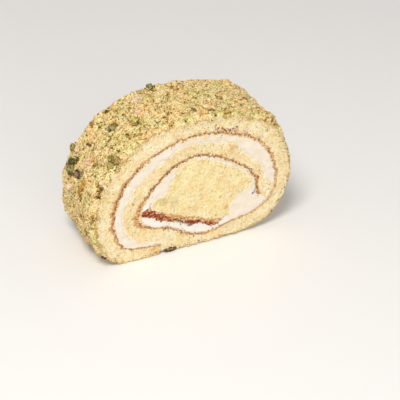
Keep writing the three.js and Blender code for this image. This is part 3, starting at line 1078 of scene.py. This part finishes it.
def loose_crumbs():
    """The crumbs of the coat by kind: on the coat, and dragged onto the cut faces."""
    # Piece, material, its three tones, how many on the coat and by the faces' rims, the smallest and
    # largest radius on the coat in mm, and where on it they lie.
    kinds = (
        ("pale_crumbs", "pale_sponge_crumb", ("#e2ca92", "#eedaa8", "#f8ecca"), 2000, 480, 0.28, 0.85,
         {"lowest": 0.5}),
        ("fine_crumbs", "ground_sponge_crumb", ("#ab8f58", "#ead095", "#fff6d8"), 7500, 800, 0.16, 0.4, {}),
        ("golden_crumbs", "golden_sponge_crumb", ("#c29c4a", "#dec070", "#efdb9e"), 700, 70, 0.28, 0.6,
         {"patch": (6, 0.5)}),
        ("olive_crumbs", "ground_pistachio", ("#77733c", "#a29b5c", "#c8bf86"), 1600, 240, 0.16, 0.42,
         {"highest": 0.75, "patch": (5, 0.38)}),
        ("toasted_crumbs", "toasted_crumb", ("#57361b", "#8c6032", "#b98f58"), 800, 110, 0.18, 0.4, {}),
        # Near-black specks kept off the grains' tops: dark crust bits, and painted shade between the crumbs.
        ("dark_specks", "dark_crust_and_shade_speck", ("#120e09", "#261d12", "#453721"), 1800, 200, 0.14, 0.34,
         {"highest": 0.75}),
    )
    for i, (name, finish, colours, count, at_rim, smallest, largest, kept) in enumerate(kinds):
        source = random.Random(100 + i)
        places = sprinkled(count, smallest, largest, source, **kept)
        places += by_the_rim(at_rim, 0.6 * smallest, 0.5 * largest, source)
        if name in ("olive_crumbs", "dark_specks"):
            places += gathered(4, smallest, largest, source)
        if name == "dark_specks":
            places += round_the_nuts(source)
            for x, z, size in FACE_SPECKS:
                places += [face_point(Vector((x, z)), side, size) for side in (-1, 1)]
        crumbs(name, crumb_material(finish, *colours), "crumb_coat", places, 200 + i)


def cut_face_crumbs():
    """Fine crumbs that the knife left on the sponge, the skins and the cream."""
    source = random.Random(61)
    pale, brown, dark = [], [], []

    def drop(kind, place, smallest, largest, inward=FAR_INSIDE):
        kind.append(face_point(place, side, source.uniform(smallest, largest), inward))

    for side in (-1, 1):
        for _ in range(420):  # on the sheet
            angle = source.uniform(FLAP_TIP + 8, SHEET_END)
            inner = skin_side(angle) + 1.5
            drop(pale, at(angle, source.uniform(inner, max(sheet_outside(angle), inner))), 0.12, 0.3)
        for _ in range(130):  # on the core
            angle = source.uniform(0, 360)
            drop(pale, at(angle, core_radius(angle) * math.sqrt(source.random()) * 0.97), 0.12, 0.28)
        for k in range(200):  # by the base, right and left
            angle = source.uniform(312, 390) if k % 2 else source.uniform(FLAP_TIP + 1, 66)
            inward = 0.1 + source.expovariate(2.2)
            drop(pale, at(angle, first_turn_outside(angle) - inward), 0.2, 0.55, inward)
        for _ in range(45):  # on the flap's rim
            angle = source.uniform(FLAP_TIP + 1, 76)
            inward = source.expovariate(3) - 0.2
            drop(pale, at(angle, first_turn_outside(angle) - inward), 0.3, 0.7, max(inward, 0))
        for _ in range(540):  # torn out of the skin
            angle = source.uniform(45, SHEET_END)
            drop(brown, at(angle, skin_side(angle) + source.gauss(0.7, 0.8)), 0.1, 0.27)
        for _ in range(110):  # dragged up from the skin, over the top
            angle = source.uniform(186, 242)
            drop(brown, at(angle, skin_side(angle) + source.uniform(0.8, 3.8)), 0.1, 0.26)
        for k in range(110):  # a ring of crumbs at the foot
            turn = source.uniform(0, math.tau)
            place = Vector((FOOT_BLOTCH[0] + 2.4 * math.cos(turn), FOOT_BLOTCH[1] + 0.8 * math.sin(turn)))
            place += 0.35 * Vector((source.gauss(0, 1), abs(source.gauss(0, 1))))
            drop(brown if k % 3 else dark, place, 0.15, 0.36)
        for _ in range(7):  # a streak of crumbs on the flap
            drop(dark, Vector(FLAP_SPOT) + source.uniform(-1, 1) * Vector((1, -0.8)), 0.35, 0.55)
        for k in range(60):  # in the cream under the jam
            angle = source.gauss(380, 7) if k % 2 else source.uniform(332, 440)
            drop(dark, at(angle, filling_radius(angle) + source.expovariate(1.4) - 0.4), 0.12, 0.32)
        for k in range(90):  # in the jam
            angle = source.uniform(330, 446) if k % 3 else source.gauss(437, 4)
            drop(dark, at(angle, core_radius(angle) + jam_depth(angle) * source.uniform(0.35, 1)), 0.12, 0.3)
        for k in range(12):  # by the sheet's inner end
            place = Vector((END_CRUMBS[0] + source.gauss(0, 0.5), END_CRUMBS[1] + source.gauss(0, 0.7)))
            drop(dark if k % 2 else brown, place, 0.12, 0.28)
    crumbs("knife_crumbs", crumb_material("cut_sponge_crumb", "#dcc184", "#f0dcab", "#fbf0d0"),
           "sponge", pale, 251)
    crumbs("skin_crumbs", crumb_material("torn_skin_crumb", "#2c170b", "#7c4a24", "#bd8a50"),
           "browned_skin", brown, 252)
    crumbs("jam_specks", crumb_material("dried_jam_speck", "#22130e", "#43200f", "#7c4426"), "jam", dark, 253)


def large_bits():
    """The chopped nuts, crusts and flakes that stand out of the coat."""
    kinds = {
        "pistachio": ("pistachio_bits", "chopped_pistachio", ("#5c5c34", "#8c8957", "#c6c092"), "nuts"),
        "olive": ("olive_bits", "pistachio_husk", ("#6e6130", "#a49252", "#cebd80"), "nuts"),
        "fruit": ("fruit_bits", "dried_fruit_bit", ("#38241f", "#75575a", "#b39a94"), "nuts"),
        "toast": ("toast_bits", "toasted_crust_bit", ("#6b4526", "#a0703c", "#c89a62"), "crumb_coat"),
        "ochre": ("ochre_bits", "caramel_crumb_bit", ("#a88238", "#c8a454", "#dfc27c"), "crumb_coat"),
        "flake": ("pale_flakes", "almond_flake", ("#e4cab0", "#f2dac6", "#faeadd"), "crumb_coat"),
    }
    for i, (kind, (name, finish, colours, slot)) in enumerate(kinds.items()):
        source = random.Random(300 + i)
        places = []
        for angle, y, size, what in NUTS:
            if what != kind:
                continue
            places.append((coat_point(angle, y, 0.2 * size), 0.8 * size))
            for _ in range(9):
                turn, away = source.uniform(0, math.tau), 0.75 * size * math.sqrt(source.random())
                spot = coat_point(*beside(angle, y, away, turn), 0.35 * size)
                places.append((spot, size * source.uniform(0.22, 0.42)))
        material = crumb_material(finish, *colours, size=1, mottled=0.43 if slot == "nuts" else 0.38)
        crumbs(name, material, slot, places, 400 + i, 0.85, 2, 0.2)


# ---- Camera, floor and light ----
# Angles in degrees, and the focal length and the frame's width in pixels.
CAMERA = {"azimuth": -27.5, "elevation": 34.0, "roll": 2.0, "focal": 1500.0, "frame": 400.0}
ANCHOR = {"pixel": (130.0, 261.7), "point": (-32.8, -18.0, 0.5)}  # a known corner of the base
SCALE = 2.2  # pixels for each millimetre at that corner


def camera():
    azimuth, elevation, roll = (math.radians(CAMERA[k]) for k in ("azimuth", "elevation", "roll"))
    back = Vector((
        math.sin(azimuth) * math.cos(elevation),
        -math.cos(azimuth) * math.cos(elevation),
        math.sin(elevation),
    ))
    level = Vector((0, 0, 1)).cross(back).normalized()
    upright = back.cross(level)
    right = math.cos(roll) * level + math.sin(roll) * upright
    up = -math.sin(roll) * level + math.cos(roll) * upright
    half = CAMERA["frame"] / 2
    x, y = ANCHOR["pixel"]
    ray = -back + (x - half) / CAMERA["focal"] * right - (y - half) / CAMERA["focal"] * up
    place = (Vector(ANCHOR["point"]) - ray * CAMERA["focal"] / SCALE) * MM
    data = bpy.data.cameras.new("camera")
    data.sensor_width = 36
    data.lens = CAMERA["focal"] / CAMERA["frame"] * data.sensor_width
    made = in_scene("camera", data)
    made.matrix_world = Matrix((
        (right.x, up.x, back.x, place.x), (right.y, up.y, back.y, place.y),
        (right.z, up.z, back.z, place.z), (0, 0, 0, 1),
    ))
    bpy.context.scene.camera = made


def floor():
    """A plain pale table, 6 m wide."""
    bm = bmesh.new()
    bmesh.ops.create_grid(bm, x_segments=1, y_segments=1, size=3)
    mesh = as_mesh(bm, "floor")
    made, tree = new_material("pale_table")
    shader = add(tree, "ShaderNodeBsdfPrincipled", {"Base Color": hexed("#e9e7e5"), "Roughness": 0.6})
    add(tree, "ShaderNodeOutputMaterial", {"Surface": shader.outputs["BSDF"]})
    mesh.materials.append(made)
    ground = in_scene("floor", mesh)


def area_light(name, place, power, size, colour):
    """A soft box in metres, turned towards the cake."""
    data = bpy.data.lights.new(name, "AREA")
    data.energy = power
    data.size = size
    data.color = hexed(colour)[:3]
    made = in_scene(name, data)
    made.location = place
    made.rotation_mode = "QUATERNION"
    made.rotation_quaternion = (Vector(place) - Vector((0, 0, 0.03))).to_track_quat("Z", "Y")


def lights():
    area_light("key", (-0.4, -0.42, 0.95), 9, 0.35, "#fffcf7")
    area_light("front", (-0.1, -0.95, 0.45), 3, 0.8, "#ffffff")
    world = bpy.data.worlds.new("studio")
    world.use_nodes = True
    world.node_tree.nodes["Background"].inputs["Color"].default_value = hexed("#ffffff")
    world.node_tree.nodes["Background"].inputs["Strength"].default_value = 0.42
    bpy.context.scene.world = world
    bpy.context.scene.view_settings.view_transform = "Standard"


camera()
sponge_sheet()
browned_skin()
cream = cream_material()
cream_between_turns(cream)
cream_round_core(cream)
jam_line()
sponge_core()
crumb_bed()
loose_crumbs()
cut_face_crumbs()
large_bits()
floor()
lights()
